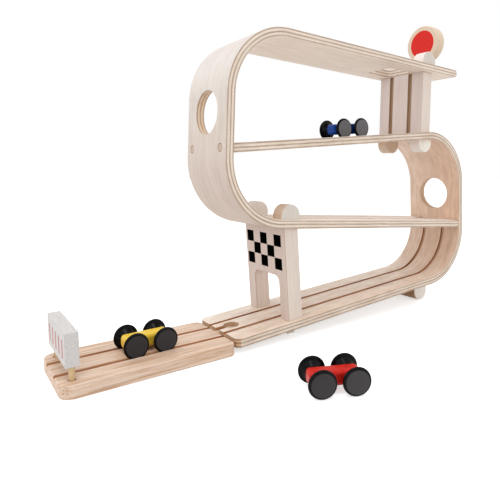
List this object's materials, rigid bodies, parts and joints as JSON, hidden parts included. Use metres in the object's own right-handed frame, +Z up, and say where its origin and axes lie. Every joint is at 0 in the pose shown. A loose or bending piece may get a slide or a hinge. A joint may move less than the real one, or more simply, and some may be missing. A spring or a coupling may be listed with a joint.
{
  "type": "click clack track toy",
  "caption": "Wooden ramp racer: bent plywood bands form sloping grooved decks on which small cars roll, drop through openings, turn over and run out on a tray.",
  "frame": {"origin": "on the floor at mid width, on the tray's flat underside below the outer corner of the left bend", "axes": "+X along the decks from the tray towards the right bend, +Y across them away from the viewer, +Z up"},
  "size_m": [0.6338, 0.2495, 0.4388],
  "materials": {
    "plywood": "clear satin lacquer on birch plywood",
    "dowel": "bare hardwood",
    "tray_wood": "clear satin lacquer",
    "stop_paint": "satin off-white paint with red stripes",
    "sign": "clear satin lacquer with a painted red dot",
    "wheel_black": "satin black",
    "axle_steel": "plain steel",
    "yellow_paint": "satin yellow paint",
    "blue_paint": "satin blue paint",
    "red_paint": "satin red paint"
  },
  "bodies": {
    "track": {"upper_band": "plywood", "lower_band": "plywood", "start_panel": "plywood", "finish_gate": "plywood", "panel_cap_top_near": "plywood", "panel_cap_top_far": "plywood", "panel_cap_low_near": "plywood", "panel_cap_low_far": "plywood", "gate_cap_near": "plywood", "gate_cap_far": "plywood", "panel_pin_top_near": "dowel", "panel_pin_top_far": "dowel", "panel_pin_low_near": "dowel", "panel_pin_low_far": "dowel", "gate_pin_top_near": "dowel", "gate_pin_top_far": "dowel", "gate_pin_low_near": "dowel", "gate_pin_low_far": "dowel", "left_plug_near": "dowel", "left_plug_far": "dowel", "right_plug_near": "dowel", "right_plug_far": "dowel", "rear_foot": "plywood", "front_foot": "plywood", "sign_disc": "sign", "sign_post": "dowel"},
    "tray": {"tray": "tray_wood"},
    "stop": {"stop_board": "stop_paint", "stop_dowel_near": "dowel", "stop_dowel_far": "dowel"},
    "yellow_car": {"yellow_body": "yellow_paint"},
    "yellow_front_wheels": {"yellow_front_axle": "axle_steel", "yellow_wheel_front_near": "wheel_black", "yellow_wheel_front_far": "wheel_black"},
    "yellow_rear_wheels": {"yellow_rear_axle": "axle_steel", "yellow_wheel_rear_near": "wheel_black", "yellow_wheel_rear_far": "wheel_black"},
    "blue_car": {"blue_body": "blue_paint"},
    "blue_front_wheels": {"blue_front_axle": "axle_steel", "blue_wheel_front_near": "wheel_black", "blue_wheel_front_far": "wheel_black"},
    "blue_rear_wheels": {"blue_rear_axle": "axle_steel", "blue_wheel_rear_near": "wheel_black", "blue_wheel_rear_far": "wheel_black"},
    "red_car": {"red_body": "red_paint"},
    "red_front_wheels": {"red_front_axle": "axle_steel", "red_wheel_front_near": "wheel_black", "red_wheel_front_far": "wheel_black"},
    "red_rear_wheels": {"red_rear_axle": "axle_steel", "red_wheel_rear_near": "wheel_black", "red_wheel_rear_far": "wheel_black"}
  },
  "joints": [
    {"name": "tray_lift", "type": "slide", "parent": "track", "child": "tray", "axis": [0, 0, 1], "range_m": [0, 0.025]},
    {"name": "stop_lift", "type": "slide", "parent": "tray", "child": "stop", "axis": [0, 0, 1], "range_m": [0, 0.012]},
    {"name": "yellow_roll", "type": "slide", "parent": "tray", "child": "yellow_car", "axis": [1, 0, 0], "range_m": [-0.049, 0.05]},
    {"name": "yellow_front_spin", "type": "hinge", "parent": "yellow_car", "child": "yellow_front_wheels", "pos_m": [-0.093, 0, 0.02545], "axis": [0, 1, 0], "continuous": true},
    {"name": "yellow_rear_spin", "type": "hinge", "parent": "yellow_car", "child": "yellow_rear_wheels", "pos_m": [-0.059, 0, 0.02545], "axis": [0, 1, 0], "continuous": true},
    {"name": "blue_roll", "type": "slide", "parent": "track", "child": "blue_car", "axis": [0.998, 0, 0.0628], "range_m": [-0.14, 0.08]},
    {"name": "blue_front_spin", "type": "hinge", "parent": "blue_car", "child": "blue_front_wheels", "pos_m": [0.21432, 0, 0.26774], "axis": [0, 1, 0], "continuous": true},
    {"name": "blue_rear_spin", "type": "hinge", "parent": "blue_car", "child": "blue_rear_wheels", "pos_m": [0.24825, 0, 0.26987], "axis": [0, 1, 0], "continuous": true},
    {"name": "red_roll", "type": "slide", "parent": "track", "child": "red_car", "axis": [0.9184, -0.3955, 0], "range_m": [-0.1, 0.15]},
    {"name": "red_front_spin", "type": "hinge", "parent": "red_car", "child": "red_front_wheels", "pos_m": [0.03289, -0.16538, 0.0143], "axis": [0.3955, 0.9184, 0], "continuous": true},
    {"name": "red_rear_spin", "type": "hinge", "parent": "red_car", "child": "red_rear_wheels", "pos_m": [0.06411, -0.17882, 0.0143], "axis": [0.3955, 0.9184, 0], "continuous": true}
  ],
  "couplings": [
    {"joint": "yellow_front_spin", "follows": "yellow_roll", "rad_per_m": 69.93},
    {"joint": "yellow_rear_spin", "follows": "yellow_roll", "rad_per_m": 69.93},
    {"joint": "blue_front_spin", "follows": "blue_roll", "rad_per_m": 69.93},
    {"joint": "blue_rear_spin", "follows": "blue_roll", "rad_per_m": 69.93},
    {"joint": "red_front_spin", "follows": "red_roll", "rad_per_m": 69.93},
    {"joint": "red_rear_spin", "follows": "red_roll", "rad_per_m": 69.93}
  ]
}
